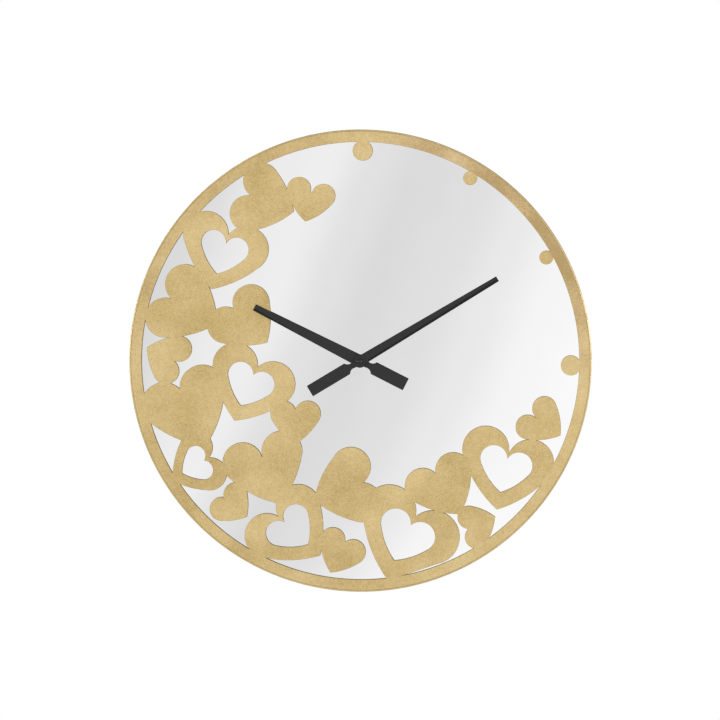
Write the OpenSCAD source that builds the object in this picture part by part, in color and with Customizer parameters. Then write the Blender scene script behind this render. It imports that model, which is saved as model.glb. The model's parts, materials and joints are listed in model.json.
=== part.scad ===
// Round wall mirror clock: a gold fretwork face of hearts over a mirror, with two flat hands
// Millimetres, +Z up, front toward -Y. The origin is the centre of the hanger's round hole, on the wall.
// Every piece is drawn facing the viewer (x right, y up, z out of the wall, dial axis at 0, 0)
// and is then stood up on the wall by on_wall().

/* [Case] */
// Outside diameter of the hoop
case_d = 600; // [540:5:660]
// Width of the ring on the face, hoop included
ring_w = 16; // [14:0.5:20]
// Wall of the rolled hoop
hoop_t = 2; // [1.5:0.25:3]
// Rounding of the hoop's front outer edge
hoop_edge_r = 1.5; // [0.5:0.25:2]
// Thickness of the cut sheet of the face
panel_t = 1.5; // [1:0.25:2.5]
// Space between the movement and the wall
wall_gap = 1; // [0.5:0.5:5]

/* [Mirror and back] */
// Thickness of the foam ring between face and mirror
gasket_t = 2.5; // [2:0.25:4]
// Width of the foam ring
gasket_w = 10; // [6:0.5:12]
// Thickness of the mirror
mirror_t = 3; // [2:0.5:5]
// Space between the mirror's edge and the hoop
mirror_gap = 2; // [1:0.5:4]
// Thickness of the foam tape behind the mirror
tape_t = 1; // [0.5:0.25:2]
// Width of a strip of tape
tape_w = 24; // [12:1:40]
// Length of a strip of tape
tape_len = 110; // [60:5:140]
// Distance of the strips from the mirror's edge
tape_inset = 80; // [40:5:120]
// Thickness of the back board
board_t = 5; // [4:0.5:8]
// Space between the board's edge and the hoop
board_gap = 1; // [0.5:0.5:3]

/* [Tabs and hanger] */
// Width of a retaining tab
tab_w = 16; // [12:1:24]
// Foot of a retaining tab, from the hoop inward
tab_len = 22; // [16:1:30]
// Leg of a retaining tab along the hoop
tab_leg = 10; // [6:1:14]
// Thickness of a retaining tab
tab_t = 1.5; // [1:0.25:2]
// Shank diameter of a tab screw
screw_d = 3.5; // [2.5:0.5:4]
// Head diameter of a tab screw
screw_head_d = 7; // [5.5:0.5:9]
// Head height of a tab screw
screw_head_h = 2; // [1.5:0.25:3]
// Depth of a tab screw in the board
screw_bite = 3.5; // [2:0.25:3.5]
// Width of the hanger plate
hanger_w = 60; // [40:2:80]
// Height of the hanger plate, from the hoop down
hanger_h = 42; // [38:1:50]
// Thickness of the hanger plate
hanger_t = 2; // [1.5:0.25:3]
// Round hole of the hanger, from the hoop down
keyhole_drop = 26; // [24:0.5:30]
// Diameter of the hanger's round hole
keyhole_d = 9; // [8:0.5:12]
// Width of the hanger's slot
slot_w = 5; // [4:0.5:6]
// Rise of the slot above the round hole
slot_rise = 11; // [8:0.5:16]

/* [Hands] */
// Minute hand, arbor to tip
minute_len = 207.5; // [150:0.5:230]
// Minute hand, width at its tip
minute_tip_w = 7; // [4:0.5:10]
// Minute hand, width at the arbor
minute_root_w = 13; // [8:0.5:14]
// Minute hand, arbor to the end of its tail
minute_tail = 75.5; // [40:0.5:100]
// Minute hand, width of its tail
minute_tail_w = 15.5; // [10:0.5:18]
// Minute hand, degrees past twelve
minute_turn = 59; // [0:1:359]
// Hour hand, arbor to tip
hour_len = 153.5; // [100:0.5:180]
// Hour hand, width at its tip
hour_tip_w = 8.5; // [5:0.5:12]
// Hour hand, width at the arbor
hour_root_w = 15; // [10:0.5:16]
// Hour hand, arbor to the end of its tail
hour_tail = 66.5; // [40:0.5:90]
// Hour hand, width of its tail
hour_tail_w = 16.5; // [12:0.5:20]
// Hour hand, degrees past twelve
hour_turn = 297; // [0:1:359]
// Thickness of both hands
hand_t = 1; // [0.8:0.1:1.5]
// Space from face to hour hand and from hand to hand
hand_gap = 1.5; // [1.2:0.1:3]

/* [Movement] */
// Length of the battery
battery_len = 50.5; // [42:0.5:60]
// Diameter of the battery
battery_d = 14.3; // [13:0.1:16]
// Room in the battery's bay, beyond the battery and the contacts
bay_spare = 1.7; // [1.2:0.1:6]
// Wall left in front of the battery
pocket_wall = 0.95; // [0.8:0.05:2.5]
// Front wall and side walls of the movement
movement_wall = 1.5; // [1.2:0.1:1.6]
// Rear cover of the movement
cover_t = 1.5; // [1.2:0.1:1.8]
// Diameter of the threaded bushing
bushing_d = 8; // [7.5:0.25:10]
// Space round the bushing in board and mirror
bushing_gap = 0.6; // [0.3:0.1:1]
// Width across the flats of the bushing nut
nut_w = 12; // [12:0.5:16]
// Height of the bushing nut
nut_h = 2.5; // [2:0.25:3]
// Diameter of the bushing's washer
washer_d = 16; // [16:0.5:24]
// Thickness of the bushing's washer
washer_t = 0.8; // [0.5:0.1:1.2]

/* [Hidden] */
$fn = 96;
// Overshoot of a cutting solid past the face that it cuts
over = 1;

// Battery in its bay
battery_r = battery_d / 2;
battery_nub_r = 2.75;
battery_nub_len = 1.2;
battery_gap = 0.15;
battery_sunk = 0.6;

// Depth stack, from the wall outward
movement_z = wall_gap;
movement_d = battery_sunk + battery_d + battery_gap + pocket_wall;
board_z = movement_z + movement_d;
tape_z = board_z + board_t;
mirror_z = tape_z + tape_t;
gasket_z = mirror_z + mirror_t;
panel_z = gasket_z + gasket_t;
face_z = panel_z + panel_t;
hour_z = face_z + hand_gap;
minute_z = hour_z + hand_t + hand_gap;

// Radii on the dial axis
hoop_or = case_d / 2;
hoop_ir = hoop_or - hoop_t;
opening_r = hoop_or - ring_w;
mirror_r = hoop_ir - mirror_gap;
board_r = hoop_ir - board_gap;
shaft_hole_r = bushing_d / 2 + bushing_gap;
hang_drop = hoop_ir - keyhole_drop;

// Fretwork: lobe centre, lobe centre, lobe radius, tip
HEARTS = [
    [[-128, 233.5], [-145.5, 191.5], 23.5, [-85.5, 193.5]],
    [[-79, 223], [-47.5, 214], 15.5, [-71, 180.5]],
    [[-200, 165], [-148, 145], 29.5, [-193, 92.5]],
    [[-227, 99.5], [-253, 56], 26, [-185, 48]],
    [[-141.5, 75.5], [-174.5, 46.5], 24, [-120.5, 23.5]],
    [[-235.5, 15.5], [-252, -13.5], 17, [-277, 17.5]],
    [[-162, -5.5], [-113.5, -30], 29.5, [-163, -78]],
    [[-205, -34.5], [-255, -57.5], 29.5, [-200.5, -111.5]],
    [[-213, -112.5], [-195, -147], 21.5, [-244, -156]],
    [[-101.5, -117], [-152.5, -132.5], 26.5, [-104, -186]],
    [[-162, -173.5], [-180, -192.5], 15.5, [-147, -203]],
    [[-99.5, -68.5], [-68, -68.5], 17, [-84.5, -108.5]],
    [[-80.5, -189], [-121, -227], 29, [-51.5, -253]],
    [[-35.5, -232.5], [-9, -248], 16.5, [-38.5, -275]],
    [[-12, -137.5], [2.5, -183.5], 26, [-60, -180.5]],
    [[38, -195], [94.5, -228.5], 35, [36, -285]],
    [[81.5, -162], [121, -141.5], 23.5, [130.5, -198.5]],
    [[163, -114], [221, -131.5], 30.5, [177.5, -192.5]],
    [[239, -61], [217.5, -85], 16, [260, -96]],
    [[141.5, -202.5], [151, -228], 15, [175.5, -201.5]]
];
// Heart-shaped windows in six of the hearts
WINDOWS = [
    [[-190, 154], [-160.5, 144], 16, [-186, 113]],
    [[-155, -17.5], [-127.5, -30.5], 16.5, [-155, -58]],
    [[-213.5, -123], [-203.5, -142], 12.5, [-231.5, -146.5]],
    [[-83.5, -202.5], [-106, -224], 16.5, [-67.5, -238.5]],
    [[46.5, -210.5], [78, -228], 19.5, [44.5, -259]],
    [[173.5, -126], [206, -135.5], 17.5, [182, -170]]
];
// Hour dots at twelve, one, two and three: x, y, radius
DOTS = [[3.5, 272.5, 13], [142.5, 237, 9], [241, 134.5, 9], [273, -5, 13]];
// The fretwork is scaled until the tip of its bottom heart laps this far onto the ring
tip_lap = 3.4;
bottom_heart = 15;
fret_scale = (opening_r + tip_lap) / norm(HEARTS[bottom_heart][3]);
// Radius of a heart's side, in lobe radii, and of the bottom heart's right side, which runs along the ring
flank_ratio = 5;
straight_ratio = 100;
// Lobe left standing past the side's arc, in lobe radii, so that the two arcs cross cleanly
proud_ratio = 0.01;
// Reach of the side arcs past the lobe, in lobe radii
skirt_ratio = 1.3;

// Hands
minute_hub_r = 8;
hour_hub_r = 8.5;
neck_w = 7;
neck_flare = 1;
neck_r = 8.3;
tail_from = 20;
hand_nut_r = 3.8;
hand_nut_h = 3.5;
hand_nut_dome_r = 4.5;
hand_nut_bite = 2;

// Tape: strips round the mirror, and a round pad at the shaft
tape_strips = 8;
tape_pad_r = 24;

// Tabs and screws
tab_count = 6;
tab_hole_gap = 0.3;
tab_hole_in = 13;

// Shafts and bearings
run_gap = 0.05;
end_play = 0.15;
pivot_r = 0.5;
pivot_deep = 0.8;
arbor_r = 1.75;
arbor_pilot_r = 1.4;
pipe_r = 2.6;
pipe_pilot_r = 2.4;
pipe_proud = 0.7;
bushing_proud = 0.2;
bushing_flange_r = 5.5;
bushing_flange_t = 0.6;

// Levels of the movement's walls and of the battery
plate_z = board_z - movement_wall;
cover_z = movement_z + cover_t;
battery_z = movement_z + battery_sunk + battery_r;

// Tooth shape: half widths at root and tip in tooth pitches, height and depth in modules
WHEEL_TOOTH = [0.27, 0.10];
PINION_TOOTH = [0.24, 0.08];
tooth_add = 0.9;
tooth_ded = 1.3;

// Going train and motion work: teeth, module, level and thickness of each wheel and pinion
pinion_n = 8;
centre_n = 64;
third_n = 60;
fourth_n = 48;
fifth_n = 40;
cannon_n = 12;
motion_n = 36;
motion_pinion_n = 10;
hour_n = 40;
knob_n = 12;
centre_m = 0.32;
train_m = 0.25;
motion_m = 0.5;
hour_m = motion_m * (cannon_n + motion_n) / (motion_pinion_n + hour_n);
// Rear face of each wheel and pinion, back from the front wall
hour_drop = 1.9;
motion_pinion_drop = 2.1;
motion_drop = 4.1;
cannon_drop = 4.3;
centre_drop = 5.9;
third_pinion_drop = 6.1;
third_drop = 7.9;
fourth_pinion_drop = 8.1;
fourth_drop = 9.7;
fifth_pinion_drop = 9.9;
fifth_drop = 11.3;
rotor_pinion_drop = 11.5;
magnet_drop = 9.9;
stator_drop = 8.9;
hour_wheel_z = plate_z - hour_drop;
motion_pinion_z = plate_z - motion_pinion_drop;
motion_wheel_z = plate_z - motion_drop;
cannon_z = plate_z - cannon_drop;
centre_wheel_z = plate_z - centre_drop;
third_pinion_z = plate_z - third_pinion_drop;
third_wheel_z = plate_z - third_drop;
fourth_pinion_z = plate_z - fourth_pinion_drop;
fourth_wheel_z = plate_z - fourth_drop;
fifth_pinion_z = plate_z - fifth_pinion_drop;
fifth_wheel_z = plate_z - fifth_drop;
rotor_pinion_z = plate_z - rotor_pinion_drop;
hour_wheel_t = 1;
motion_pinion_t = 1.4;
motion_wheel_t = 1;
cannon_t = 1.6;
centre_wheel_t = 0.8;
centre_hub_r = 4;
centre_hub_t = 0.6;
centre_hub_z = centre_wheel_z - centre_hub_t;
pinion_t = 1.2;
wheel_t = 0.6;

// Axes of the train, each set off from the one before it by the pair's centre distance
centre_at = [0, 0];
third_way = 170;
fourth_way = 100;
fifth_way = 150;
rotor_way = 60;
motion_way = 60;
knob_way = -20;
third_at = off(centre_at, centre_m * (centre_n + pinion_n) / 2, third_way);
fourth_at = off(third_at, train_m * (third_n + pinion_n) / 2, fourth_way);
fifth_at = off(fourth_at, train_m * (fourth_n + pinion_n) / 2, fifth_way);
rotor_at = off(fifth_at, train_m * (fifth_n + pinion_n) / 2, rotor_way);
motion_at = off(centre_at, motion_m * (cannon_n + motion_n) / 2, motion_way);
knob_at = off(motion_at, motion_m * (motion_n + knob_n) / 2, knob_way);

// Setting knob, let into the rear cover
knob_r = 6;
knob_h = 2.2;
knob_gap = 0.3;
knob_grips = 20;
knob_grip_r = 0.5;
stem_r = 1.2;
stem_proud = 1;
knob_sunk = 0.1;
knob_z = movement_z + knob_sunk;
knob_floor_z = knob_z + knob_h + knob_gap;
knob_cup_r = knob_r + knob_gap + cover_t;

// Rooms of the movement: the wheels above, the battery's bay below
room_gap = 0.6;
corner_cut = 2;
bay_wall_t = 0.8;
contact_t = 0.4;
contact_w = 9;
contact_h = 8;
work_half_w = room_gap + max(tip_r(fifth_n, train_m) - fifth_at.x, knob_at.x + knob_cup_r);
inner_w = max(2 * work_half_w, battery_len + 2 * contact_t + bay_spare);
room_floor_y = -tip_r(centre_n, centre_m) - room_gap;
bay_top_y = room_floor_y - bay_wall_t;
battery_y = bay_top_y - battery_gap - battery_r;
bay_floor_y = battery_y - battery_r - battery_gap;

// Stepping motor and circuit
magnet_r = 2.5;
magnet_z = plate_z - magnet_drop;
magnet_t = 2.6;
stator_hole_r = 3;
stator_ring_r = 4.2;
stator_z = plate_z - stator_drop;
stator_t = 0.6;
stator_arm_w = 2;
core_z = stator_z + stator_t;
core_t = 0.8;
core_w = 2.4;
coil_r = 3.1;
flange_r = 3.4;
flange_t = 0.8;
bobbin_r = 1.9;
bobbin_gap = 0.05;
coil_gap = 0.7;
coil_rise = 3.3;
circuit_top_y = 14.5;
stator_gap = 1;
stator_arm_y = circuit_top_y + stator_gap;
coil_y = max(rotor_at.y + coil_rise, stator_arm_y + stator_arm_w + coil_gap + flange_r);
room_top_y = coil_y + flange_r + coil_gap;
coil_from = -8;
coil_to = 20;
core_lap = 3;
post_r = 1.2;
foot_in = 3;
foot_y = -4;
part_gap = 2;
circuit_from_x = 14;
circuit_t = 0.8;
chip_r = 3;
chip_t = 0.8;
crystal_r = 1;
crystal_len = 6;
circuit_lift = 0.5;
circuit_z = knob_floor_z + cover_t + circuit_lift;

// A point at a distance and heading from another
function off(from, distance, way) = from + distance * [cos(way), sin(way)];

// Radius of a gear over its teeth
function tip_r(n, m) = m * (n / 2 + tooth_add);

// Turn of a gear that puts its gap where the tooth of the gear that it meets points
function meshed(way, turn, n, met_n) = way + 180 - (turn - way) * n / met_n - 180 / met_n;

// Unit vector from a lobe's centre toward the centre of the arc that runs from it to the tip
function side_way(lobe, other, r, tip, ratio) =
    let (
        rise = lobe - tip,
        along = (2 * ratio * r * r - r * r - rise * rise) / (2 * (ratio - 1) * r),
        left = rise.x * (other - lobe).y - rise.y * (other - lobe).x,
        way = atan2(rise.y, rise.x) + sign(left) * acos(along / norm(rise))
    )
    [cos(way), sin(way)];

// Radius of the side from a heart's second lobe, in lobe radii
function side_ratio(i) = i == bottom_heart ? straight_ratio : flank_ratio;

// Outline of a gear, starting at one root of its first tooth
function gear_outline(n, m, turn, tooth) = [
    for (i = [0:n - 1])
        for (corner = [[-tooth[0], -tooth_ded], [-tooth[1], tooth_add],
                       [tooth[1], tooth_add], [tooth[0], -tooth_ded]])
            off([0, 0], m * n / 2 + corner[1] * m, turn + (i + corner[0]) * 360 / n)
];

module on_wall() {
    translate([0, 0, -hang_drop]) rotate([90, 0, 0]) children();
}

// A flat piece: an outline raised to a thickness at a level
module plate_at(z, t) {
    translate([0, 0, z]) linear_extrude(t) children();
}

// A round bar on the local z axis, between two levels
module bar(r, from_z, to_z) {
    translate([0, 0, from_z]) cylinder(r = r, h = to_z - from_z);
}

module annulus(outer_r, inner_r) {
    difference() {
        circle(outer_r);
        circle(inner_r);
    }
}

module flank_disc(lobe, way, r, ratio) {
    translate(lobe + (ratio - 1) * r * way) circle((ratio - proud_ratio) * r);
}

// A heart: two round lobes, and two long arcs that run from them to the tip
module heart(lobe_a, lobe_b, r, tip, ratio_b = flank_ratio) {
    way_a = side_way(lobe_a, lobe_b, r, tip, flank_ratio);
    way_b = side_way(lobe_b, lobe_a, r, tip, ratio_b);
    skirt_a = lobe_a - skirt_ratio * r * way_a;
    skirt_b = lobe_b - skirt_ratio * r * way_b;
    fall = skirt_ratio * (tip - (lobe_a + lobe_b) / 2);
    translate(lobe_a) circle(r);
    translate(lobe_b) circle(r);
    intersection() {
        flank_disc(lobe_a, way_a, r, flank_ratio);
        flank_disc(lobe_b, way_b, r, ratio_b);
        polygon([lobe_a, skirt_a, skirt_a + fall, skirt_b + fall, skirt_b, lobe_b]);
    }
}

module fretwork() {
    difference() {
        union() {
            for (i = [0:len(HEARTS) - 1])
                heart(HEARTS[i][0], HEARTS[i][1], HEARTS[i][2], HEARTS[i][3], side_ratio(i));
            for (d = DOTS) translate([d[0], d[1]]) circle(d[2]);
        }
        for (w = WINDOWS) heart(w[0], w[1], w[2], w[3]);
    }
}

module front_panel() {
    color("#d0b57a") on_wall() plate_at(panel_z, panel_t) {
        annulus(hoop_ir, opening_r);
        scale(fret_scale) fretwork();
    }
}

module rim_hoop() {
    edge_r = min(hoop_edge_r, hoop_t);
    color("#b99c63") on_wall() rotate_extrude() difference() {
        translate([hoop_ir, 0]) square([hoop_t, face_z]);
        translate([hoop_or - edge_r, face_z - edge_r]) difference() {
            square(edge_r + over);
            circle(edge_r);
        }
    }
}

module rim_gasket() {
    color("#1c1c1c") on_wall() plate_at(gasket_z, gasket_t) annulus(mirror_r, mirror_r - gasket_w);
}

module mirror_glass() {
    color("#e4e6e8") on_wall() plate_at(mirror_z, mirror_t) annulus(mirror_r, shaft_hole_r);
}

module mirror_tape() {
    color("#f2f2ee") on_wall() plate_at(tape_z, tape_t) {
        for (i = [1:tape_strips])
            rotate(i * 360 / tape_strips) translate([mirror_r - tape_inset, 0])
                square([tape_w, tape_len], center = true);
        annulus(tape_pad_r, shaft_hole_r);
    }
}

module back_board() {
    color("#a98d66") on_wall() difference() {
        plate_at(board_z, board_t) annulus(board_r, shaft_hole_r);
        at_tabs() bar(screw_d / 2, board_z - over, board_z + screw_bite);
    }
}

// The child once at each tab's screw
module at_tabs() {
    for (i = [1:tab_count]) rotate(i * 360 / tab_count) translate([hoop_ir - tab_hole_in, 0]) children();
}

// A bent strip: a foot under the board and a leg against the hoop
module retaining_tab(i) {
    color("#b4b6b8") on_wall() rotate(i * 360 / tab_count) {
        plate_at(board_z - tab_t, tab_t) difference() {
            tab_outline(tab_len);
            translate([hoop_ir - tab_hole_in, 0]) circle(screw_d / 2 + tab_hole_gap);
        }
        plate_at(board_z - tab_leg, tab_leg) difference() {
            tab_outline(tab_len);
            circle(hoop_ir - tab_t);
        }
    }
}

module tab_outline(reach) {
    intersection() {
        circle(hoop_ir);
        translate([hoop_ir - reach, -tab_w / 2]) square([reach + over, tab_w]);
    }
}

module tab_screws() {
    head_z = board_z - tab_t;
    color("#c8cacc") on_wall() at_tabs() {
        bar(screw_d / 2, head_z, board_z + screw_bite);
        translate([0, 0, head_z - screw_head_h]) intersection() {
            cylinder(d = screw_head_d, h = screw_head_h);
            translate([0, 0, screw_head_d]) sphere(r = screw_head_d);
        }
    }
}

module hanger_plate() {
    color("#b4b6b8") on_wall() plate_at(0, hanger_t) difference() {
        intersection() {
            circle(hoop_ir);
            translate([-hanger_w / 2, hoop_ir - hanger_h]) square([hanger_w, hanger_h + over]);
        }
        translate([0, hang_drop]) keyhole();
    }
}

module keyhole() {
    circle(d = keyhole_d);
    translate([-slot_w / 2, 0]) square([slot_w, slot_rise]);
    translate([0, slot_rise]) circle(d = slot_w);
}

// Outline of the movement, with its corners cut off
module case_outline() {
    half = inner_w / 2 + movement_wall;
    low = bay_floor_y - movement_wall;
    high = room_top_y + movement_wall;
    polygon([
        [half, high - corner_cut], [half - corner_cut, high],
        [corner_cut - half, high], [-half, high - corner_cut],
        [-half, low + corner_cut], [corner_cut - half, low],
        [half - corner_cut, low], [half, low + corner_cut]
    ]);
}

// A room of the movement: its full inner width, between two heights
module room_outline(from_y, to_y) {
    translate([-inner_w / 2, from_y]) square([inner_w, to_y - from_y]);
}

module at_pivots() {
    for (at = [third_at, fourth_at, fifth_at, rotor_at, motion_at]) translate(at) children();
}

module movement_case() {
    from_z = cover_z - over;
    color("#2b2b2d") on_wall() difference() {
        plate_at(cover_z, board_z - cover_z) case_outline();
        plate_at(from_z, plate_z - from_z) room_outline(room_floor_y, room_top_y);
        plate_at(from_z, board_z - pocket_wall - from_z) room_outline(bay_floor_y, bay_top_y);
        // Gaps at the ends of the bay's wall, for the contacts
        plate_at(circuit_z - contact_t, contact_h / 2) for (side = [-1, 1])
            translate([side * (inner_w - contact_t) / 2, room_floor_y - bay_wall_t / 2])
                square([contact_t, bay_wall_t + over], center = true);
        bar(bushing_d / 2, plate_z - over, board_z + over);
        at_pivots() bar(pivot_r + run_gap, plate_z - over, plate_z + pivot_deep);
        translate(knob_at) bar(pivot_r + run_gap, plate_z - over, plate_z + pivot_deep);
    }
}

module movement_cover() {
    posts = [[coil_from - core_lap / 2, coil_y], [coil_to + core_lap / 2, stator_arm_y + stator_arm_w / 2]];
    feet = [[circuit_from_x + foot_in, foot_y], [inner_w / 2 - foot_in, circuit_top_y - foot_in]];
    color("#343437") on_wall() difference() {
        union() {
            plate_at(movement_z, cover_t) difference() {
                case_outline();
                room_outline(bay_floor_y, bay_top_y);
            }
            translate(knob_at) bar(knob_cup_r, movement_z, knob_floor_z + cover_t);
            for (at = posts) translate(at) bar(post_r, movement_z, stator_z);
            for (at = feet) translate(at) bar(post_r, movement_z, circuit_z);
        }
        translate(knob_at) bar(knob_r + knob_gap, movement_z - over, knob_floor_z);
        translate(knob_at) bar(stem_r + run_gap, movement_z - over, knob_floor_z + cover_t + over);
        at_pivots() bar(pivot_r + run_gap, cover_z - pivot_deep, cover_z + over);
        bar(pivot_r + run_gap, cover_z - pivot_deep, cover_z + over);
    }
}

module shaft_bushing() {
    color("#c9a44c") on_wall() difference() {
        union() {
            bar(bushing_d / 2, plate_z, gasket_z + washer_t + nut_h + bushing_proud);
            bar(bushing_flange_r, plate_z - bushing_flange_t, plate_z);
        }
        bar(pipe_r + run_gap, plate_z - bushing_flange_t - over, hour_z);
    }
}

module bushing_washer() {
    color("#c9a44c") on_wall() plate_at(gasket_z, washer_t) annulus(washer_d / 2, bushing_d / 2 + run_gap);
}

module bushing_nut() {
    color("#c9a44c") on_wall() plate_at(gasket_z + washer_t, nut_h) difference() {
        circle(d = nut_w / cos(30), $fn = 6);
        circle(d = bushing_d);
    }
}

// Motor plate: a ring round the magnet, with an arm to each end of the coil's core
module stator() {
    right_x = coil_to + core_lap / 2;
    color("#9a9ca0") on_wall() plate_at(stator_z, stator_t) difference() {
        union() {
            translate(rotor_at) circle(stator_ring_r);
            translate([rotor_at.x - core_w / 2, rotor_at.y])
                square([core_w, coil_y + core_w / 2 - rotor_at.y]);
            translate([rotor_at.x, coil_y - core_w / 2]) square([coil_from - rotor_at.x, core_w]);
            translate([rotor_at.x, stator_arm_y]) square([right_x - rotor_at.x, stator_arm_w]);
            translate([right_x - core_w / 2, stator_arm_y])
                square([core_w, coil_y + core_w / 2 - stator_arm_y]);
        }
        translate(rotor_at) circle(stator_hole_r);
    }
}

module coil_core() {
    length = coil_to - coil_from + 2 * core_lap;
    color("#8b8d92") on_wall() plate_at(core_z, core_t)
        translate([coil_from - core_lap, coil_y - core_w / 2]) square([length, core_w]);
}

// The child laid along the coil's axis, from one end of the bobbin
module along_coil() {
    translate([coil_from, coil_y, core_z + core_t / 2]) rotate([0, 90, 0]) children();
}

module coil_bobbin() {
    length = coil_to - coil_from;
    hole = [core_t + 2 * bobbin_gap, core_w + 2 * bobbin_gap];
    color("#e8e4d8") on_wall() along_coil() difference() {
        union() {
            cylinder(r = bobbin_r, h = length);
            cylinder(r = flange_r, h = flange_t);
            translate([0, 0, length - flange_t]) cylinder(r = flange_r, h = flange_t);
        }
        translate([-hole.x / 2, -hole.y / 2, -over]) cube([hole.x, hole.y, length + 2 * over]);
    }
}

module coil_winding() {
    color("#b06a3b") on_wall() along_coil() translate([0, 0, flange_t])
        linear_extrude(coil_to - coil_from - 2 * flange_t) annulus(coil_r, bobbin_r);
}

module circuit_board() {
    from_y = room_floor_y + contact_t;
    to_x = inner_w / 2 - contact_t;
    color("#2f6b3c") on_wall() plate_at(circuit_z, circuit_t) difference() {
        translate([circuit_from_x, from_y]) square([to_x - circuit_from_x, circuit_top_y - from_y]);
        translate(knob_at) circle(stem_r + knob_gap);
    }
}

module control_chip() {
    at = [circuit_from_x + chip_r + stator_gap, room_floor_y + chip_r + part_gap];
    from_z = circuit_z + circuit_t;
    color("#151515") on_wall() translate(at) bar(chip_r, from_z, from_z + chip_t);
}

module quartz_crystal() {
    at = [inner_w / 2 - part_gap - crystal_r, room_floor_y + part_gap];
    from_z = circuit_z + circuit_t;
    color("#c4c6c8") on_wall() translate([at.x, at.y, from_z + crystal_r]) rotate([-90, 0, 0])
        cylinder(r = crystal_r, h = crystal_len);
}

module contact_plate() {
    translate([0, battery_y - contact_w / 2, battery_z - contact_h / 2])
        cube([contact_t, contact_w, contact_h]);
}

// Strip at the battery's button, with a tail up to the circuit
module contact_positive() {
    tail_to = room_floor_y + contact_t + contact_h;
    color("#d6c67a") on_wall() translate([inner_w / 2 - contact_t, 0, 0]) {
        contact_plate();
        translate([0, battery_y, circuit_z - contact_t])
            cube([contact_t, tail_to - battery_y, contact_h / 2]);
    }
}

// Strip at the battery's flat end: a bowed leaf, and a tail along the bay's wall to the circuit
module contact_negative() {
    leaf_rise = inner_w - 2 * contact_t - battery_len - battery_gap;
    leaf_half = contact_w / 2;
    leaf_r = (leaf_half * leaf_half + leaf_rise * leaf_rise) / (2 * leaf_rise);
    tail_y = room_floor_y;
    color("#d6c67a") on_wall() translate([-inner_w / 2, 0, 0]) {
        contact_plate();
        plate_at(battery_z - contact_h / 2, contact_h) intersection() {
            translate([contact_t + leaf_rise - leaf_r, battery_y]) annulus(leaf_r, leaf_r - contact_t);
            translate([contact_t / 2, battery_y - leaf_half]) square([contact_t + leaf_rise, contact_w]);
        }
        plate_at(circuit_z - contact_t, contact_h / 2) {
            translate([0, battery_y]) square([contact_t, tail_y + contact_t - battery_y]);
            translate([0, tail_y]) square([inner_w / 2 + circuit_from_x + contact_w, contact_t]);
        }
    }
}

module battery() {
    body_len = battery_len - battery_nub_len;
    from_x = inner_w / 2 - contact_t - battery_len;
    color("#c9772e") on_wall() translate([from_x, battery_y, battery_z]) rotate([0, 90, 0]) {
        cylinder(r = battery_r, h = body_len);
        cylinder(r = battery_nub_r, h = battery_len);
    }
}

// A gear raised to a thickness at a level
module gear_at(n, m, turn, tooth, z, t) {
    plate_at(z, t) polygon(gear_outline(n, m, turn, tooth));
}

// Plain arbor between the cover and the front wall, with both pivots
module arbor() {
    bar(pivot_r, cover_z - pivot_deep + end_play, plate_z + pivot_deep - end_play);
}

// One step of the going train: an arbor with the pinion that is driven and the wheel that drives on
module train_wheel(at, way, drive_n, m, pinion_z, wheel_n, wheel_z) {
    color("#d9d2b0") on_wall() translate(at) {
        arbor();
        gear_at(pinion_n, m, meshed(way, 0, drive_n, pinion_n), PINION_TOOTH, pinion_z, pinion_t);
        gear_at(wheel_n, train_m, 0, WHEEL_TOOTH, wheel_z, wheel_t);
    }
}

module third_wheel() {
    train_wheel(third_at, third_way, centre_n, centre_m, third_pinion_z, third_n, third_wheel_z);
}

module fourth_wheel() {
    train_wheel(fourth_at, fourth_way, third_n, train_m, fourth_pinion_z, fourth_n, fourth_wheel_z);
}

module fifth_wheel() {
    train_wheel(fifth_at, fifth_way, fourth_n, train_m, fifth_pinion_z, fifth_n, fifth_wheel_z);
}

module rotor() {
    turn = meshed(rotor_way, 0, fifth_n, pinion_n);
    color("#4a4d52") on_wall() translate(rotor_at) {
        arbor();
        gear_at(pinion_n, train_m, turn, PINION_TOOTH, rotor_pinion_z, pinion_t);
        bar(magnet_r, magnet_z, magnet_z + magnet_t);
    }
}

module minute_arbor() {
    color("#cfd1d3") on_wall() {
        bar(pivot_r, cover_z - pivot_deep + end_play, centre_hub_z);
        bar(arbor_r, centre_hub_z, minute_z);
        bar(arbor_pilot_r, minute_z, minute_z + hand_t + hand_nut_bite);
        gear_at(cannon_n, motion_m, 0, PINION_TOOTH, cannon_z, cannon_t);
    }
}

module centre_wheel() {
    color("#d9d2b0") on_wall() difference() {
        union() {
            gear_at(centre_n, centre_m, 0, WHEEL_TOOTH, centre_wheel_z, centre_wheel_t);
            bar(centre_hub_r, centre_hub_z, cannon_z);
        }
        bar(arbor_r, centre_hub_z - over, cannon_z + over);
    }
}

module motion_wheel() {
    color("#d9d2b0") on_wall() translate(motion_at) {
        arbor();
        gear_at(motion_n, motion_m, motion_turn(), WHEEL_TOOTH, motion_wheel_z, motion_wheel_t);
        gear_at(motion_pinion_n, hour_m, 0, PINION_TOOTH, motion_pinion_z, motion_pinion_t);
    }
}

function motion_turn() = meshed(motion_way, 0, cannon_n, motion_n);

module hour_wheel() {
    turn = meshed(motion_way + 180, 0, motion_pinion_n, hour_n);
    color("#d9d2b0") on_wall() difference() {
        union() {
            gear_at(hour_n, hour_m, turn, WHEEL_TOOTH, hour_wheel_z, hour_wheel_t);
            bar(pipe_r, hour_wheel_z, hour_z);
            bar(pipe_pilot_r, hour_z, hour_z + hand_t + pipe_proud);
        }
        bar(arbor_r + run_gap, hour_wheel_z - over, minute_z);
    }
}

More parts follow.
